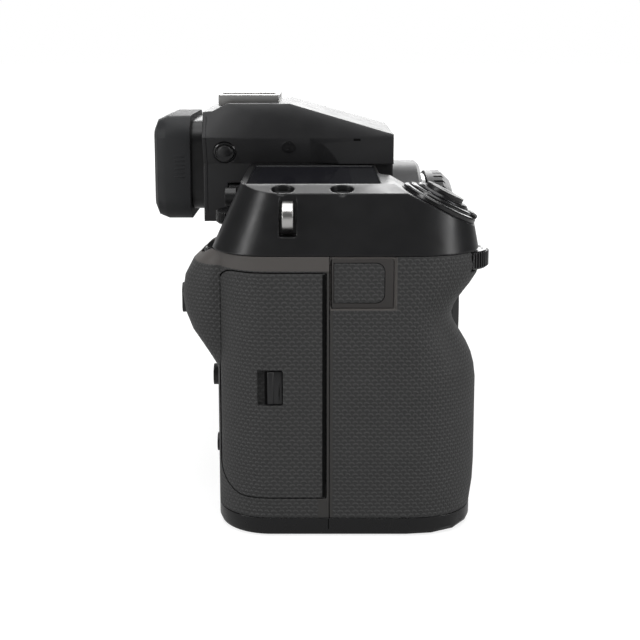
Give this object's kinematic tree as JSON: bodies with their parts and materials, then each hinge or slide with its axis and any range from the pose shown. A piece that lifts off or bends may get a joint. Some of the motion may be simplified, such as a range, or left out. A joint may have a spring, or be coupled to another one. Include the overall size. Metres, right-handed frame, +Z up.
{
  "type": "medium format digital camera",
  "caption": "Mirrorless medium format camera body with a deep hand grip, capped lens mount, slide-on electronic finder, deck display, side doors and a tilting rear monitor.",
  "frame": {"origin": "mouth of the tripod socket in the base, under the lens axis", "axes": "+Z up, the lens looks towards -Y, the hand grip is on the -X side"},
  "size_m": [0.1524, 0.0988, 0.116],
  "materials": {
    "leatherette": "fine lattice grain, matt",
    "cover_black": "black satin paint",
    "base_black": "black matt paint",
    "collar_black": "black satin",
    "door_leatherette": "fine lattice grain, matt",
    "finder_black": "fine sand texture",
    "control_black": "satin",
    "cap_black": "satin",
    "eyecup_rubber": "soft matt",
    "flap_rubber": "smooth",
    "bright_steel": "satin bright",
    "mount_steel": "polished ring",
    "contact_gold": "gold plated",
    "frame_aluminium": "cast, plain",
    "hinge_metal": "black satin",
    "screen_glass": "gloss black",
    "finder_glass": "coated",
    "sensor_glass": "gloss",
    "board_green": "solder mask",
    "battery_grey": "moulded",
    "unit_steel": "plain sheet",
    "lamp_lens": "clear amber"
  },
  "bodies": {
    "body": {"hand_grip": "leatherette", "front_casing": "leatherette", "rear_casing": "cover_black", "top_cover": "cover_black", "base_cover": "base_black", "tripod_socket": "bright_steel", "chassis": "frame_aluminium", "mount_collar": "collar_black", "lens_mount": "mount_steel", "mount_contacts": "contact_gold", "shutter_unit": "unit_steel", "shutter_blades": "control_black", "stabiliser_base": "frame_aluminium", "main_board": "board_green", "card_slot_unit": "unit_steel", "battery_chamber": "control_black", "battery": "battery_grey", "side_terminals": "control_black", "remote_jack": "bright_steel", "focus_lamp": "lamp_lens", "strap_lugs": "bright_steel", "sub_monitor_glass": "screen_glass", "finder_rail": "bright_steel"},
    "finder": {"finder_housing": "finder_black", "hot_shoe": "bright_steel", "eyepiece_lens": "finder_glass", "eyecup": "eyecup_rubber"},
    "monitor": {"monitor_housing": "cover_black", "monitor_screen": "screen_glass"},
    "lens_release_button": {"lens_release_button": "control_black"},
    "lens_lock_pin": {"lens_lock_pin": "bright_steel"},
    "body_cap": {"body_cap": "cap_black"},
    "image_sensor": {"image_sensor": "sensor_glass"},
    "battery_door": {"battery_door": "base_black"},
    "battery_latch": {"battery_latch": "control_black"},
    "card_door": {"card_door": "door_leatherette"},
    "card_latch": {"card_latch": "control_black"},
    "mic_cover": {"mic_cover": "flap_rubber"},
    "port_cover": {"port_cover": "flap_rubber"},
    "remote_cover": {"remote_cover": "flap_rubber"},
    "front_dial": {"front_dial": "hinge_metal"},
    "rear_dial": {"rear_dial": "hinge_metal"},
    "mode_dial": {"mode_dial": "hinge_metal"},
    "focus_dial": {"focus_dial": "control_black"},
    "mode_lock_button": {"mode_lock_button": "control_black"},
    "power_lever": {"power_lever": "hinge_metal"},
    "shutter_button": {"shutter_button": "control_black"},
    "view_button": {"view_button": "control_black"},
    "diopter_dial": {"diopter_dial": "control_black"},
    "finder_release": {"finder_release": "control_black"},
    "monitor_arm": {"monitor_arm": "hinge_metal"},
    "monitor_tilt_frame": {"monitor_tilt_frame": "hinge_metal"},
    "skirt_button": {"skirt_button": "control_black"},
    "menu_button": {"menu_button": "control_black"},
    "play_button": {"play_button": "control_black"},
    "focus_button": {"focus_button": "control_black"},
    "quick_button": {"quick_button": "control_black"},
    "focus_stick": {"focus_stick": "control_black"},
    "sub_monitor_light_button": {"sub_monitor_light_button": "control_black"},
    "sub_monitor_mode_button": {"sub_monitor_mode_button": "control_black"}
  },
  "joints": [
    {"name": "lens_release_press", "type": "slide", "parent": "body", "child": "lens_release_button", "axis": [0, 1, 0], "range_m": [0, 0.0025], "stiffness_N_per_m": 150},
    {"name": "lens_lock_pin_draw", "type": "slide", "parent": "body", "child": "lens_lock_pin", "axis": [0, 1, 0], "range_m": [0, 0.002]},
    {"name": "body_cap_pull", "type": "slide", "parent": "body", "child": "body_cap", "axis": [0, -1, 0], "range_m": [0, 0.03]},
    {"name": "sensor_shift", "type": "slide", "parent": "body", "child": "image_sensor", "axis": [1, 0, 0], "range_m": [-0.0015, 0.0015], "stiffness_N_per_m": 150},
    {"name": "battery_door_hinge", "type": "hinge", "parent": "body", "child": "battery_door", "pos_m": [-0.0586, -0.00245, 0.0008], "axis": [0, -1, 0], "range_deg": [0, 90]},
    {"name": "battery_latch_slide", "type": "slide", "parent": "battery_door", "child": "battery_latch", "axis": [1, 0, 0], "range_m": [0, 0.002]},
    {"name": "card_door_hinge", "type": "hinge", "parent": "body", "child": "card_door", "pos_m": [-0.0854, 0.00133, 0.042], "axis": [0, 0, 1], "range_deg": [0, 90]},
    {"name": "card_latch_slide", "type": "slide", "parent": "card_door", "child": "card_latch", "axis": [0, 1, 0], "range_m": [0, 0.002]},
    {"name": "mic_cover_hinge", "type": "hinge", "parent": "body", "child": "mic_cover", "pos_m": [0.0658, 0.00133, 0.0577], "axis": [0, 0, -1], "range_deg": [0, 90]},
    {"name": "port_cover_hinge", "type": "hinge", "parent": "body", "child": "port_cover", "pos_m": [0.0658, 0.00133, 0.0262], "axis": [0, 0, -1], "range_deg": [0, 90]},
    {"name": "remote_cover_hinge", "type": "hinge", "parent": "body", "child": "remote_cover", "pos_m": [-0.0852, -0.0011, 0.0702], "axis": [0, 0, -1], "range_deg": [0, 90]},
    {"name": "front_dial_turn", "type": "hinge", "parent": "body", "child": "front_dial", "pos_m": [-0.07, -0.0349, 0.0747], "axis": [0, 0, 1], "continuous": true},
    {"name": "rear_dial_turn", "type": "hinge", "parent": "body", "child": "rear_dial", "pos_m": [-0.066, 0.0257, 0.0747], "axis": [0, 0, 1], "continuous": true},
    {"name": "mode_dial_turn", "type": "hinge", "parent": "body", "child": "mode_dial", "pos_m": [0.046, 0.004, 0.0945], "axis": [0, 0, 1], "continuous": true},
    {"name": "focus_dial_turn", "type": "hinge", "parent": "body", "child": "focus_dial", "pos_m": [-0.036, 0.0264, 0.0807], "axis": [0, 0, 1], "range_deg": [-30, 30]},
    {"name": "mode_lock_press", "type": "slide", "parent": "body", "child": "mode_lock_button", "axis": [0, 0, -1], "range_m": [0, 0.001], "stiffness_N_per_m": 150},
    {"name": "power_lever_turn", "type": "hinge", "parent": "body", "child": "power_lever", "pos_m": [-0.068, -0.03, 0.08858], "axis": [0, -0.4606, 0.8876], "range_deg": [0, 30]},
    {"name": "shutter_press", "type": "slide", "parent": "body", "child": "shutter_button", "axis": [0, 0.4606, -0.8876], "range_m": [0, 0.0012], "stiffness_N_per_m": 150},
    {"name": "finder_slide", "type": "slide", "parent": "body", "child": "finder", "axis": [0, 1, 0], "range_m": [0, 0.03]},
    {"name": "view_press", "type": "slide", "parent": "finder", "child": "view_button", "axis": [1, 0, 0], "range_m": [0, 0.0006], "stiffness_N_per_m": 150},
    {"name": "diopter_turn", "type": "hinge", "parent": "finder", "child": "diopter_dial", "pos_m": [0.024, 0.0346, 0.0925], "axis": [1, 0, 0], "range_deg": [-120, 120]},
    {"name": "finder_release_press", "type": "slide", "parent": "finder", "child": "finder_release", "axis": [-1, 0, 0], "range_m": [0, 0.0008], "stiffness_N_per_m": 150},
    {"name": "monitor_lift", "type": "hinge", "parent": "body", "child": "monitor_arm", "pos_m": [0, 0.0293, 0.0106], "axis": [-1, 0, 0], "range_deg": [0, 45]},
    {"name": "monitor_tilt", "type": "hinge", "parent": "monitor_arm", "child": "monitor_tilt_frame", "pos_m": [0, 0.0293, 0.0674], "axis": [1, 0, 0], "range_deg": [0, 90]},
    {"name": "monitor_swing", "type": "hinge", "parent": "monitor_tilt_frame", "child": "monitor", "pos_m": [-0.0372, 0.0292, 0.038], "axis": [0, 0, 1], "range_deg": [0, 60]},
    {"name": "skirt_press", "type": "slide", "parent": "body", "child": "skirt_button", "axis": [0, -1, 0], "range_m": [0, 0.0008], "stiffness_N_per_m": 150},
    {"name": "menu_press", "type": "slide", "parent": "body", "child": "menu_button", "axis": [0, -1, 0], "range_m": [0, 0.0008], "stiffness_N_per_m": 150},
    {"name": "play_press", "type": "slide", "parent": "body", "child": "play_button", "axis": [0, -1, 0], "range_m": [0, 0.0008], "stiffness_N_per_m": 150},
    {"name": "focus_press", "type": "slide", "parent": "body", "child": "focus_button", "axis": [0, -1, 0], "range_m": [0, 0.0008], "stiffness_N_per_m": 150},
    {"name": "quick_press", "type": "slide", "parent": "body", "child": "quick_button", "axis": [0, -1, 0], "range_m": [0, 0.0005], "stiffness_N_per_m": 150},
    {"name": "focus_stick_tilt", "type": "hinge", "parent": "body", "child": "focus_stick", "pos_m": [-0.056, 0.0268, 0.037], "axis": [1, 0, 0], "range_deg": [-8, 8], "stiffness_Nm_per_rad": 0.02},
    {"name": "light_press", "type": "slide", "parent": "body", "child": "sub_monitor_light_button", "axis": [0, 0, -1], "range_m": [0, 0.0006], "stiffness_N_per_m": 150},
    {"name": "mode_press", "type": "slide", "parent": "body", "child": "sub_monitor_mode_button", "axis": [0, 0, -1], "range_m": [0, 0.0006], "stiffness_N_per_m": 150}
  ],
  "couplings": [
    {"joint": "lens_lock_pin_draw", "follows": "lens_release_press", "ratio": 0.8}
  ]
}
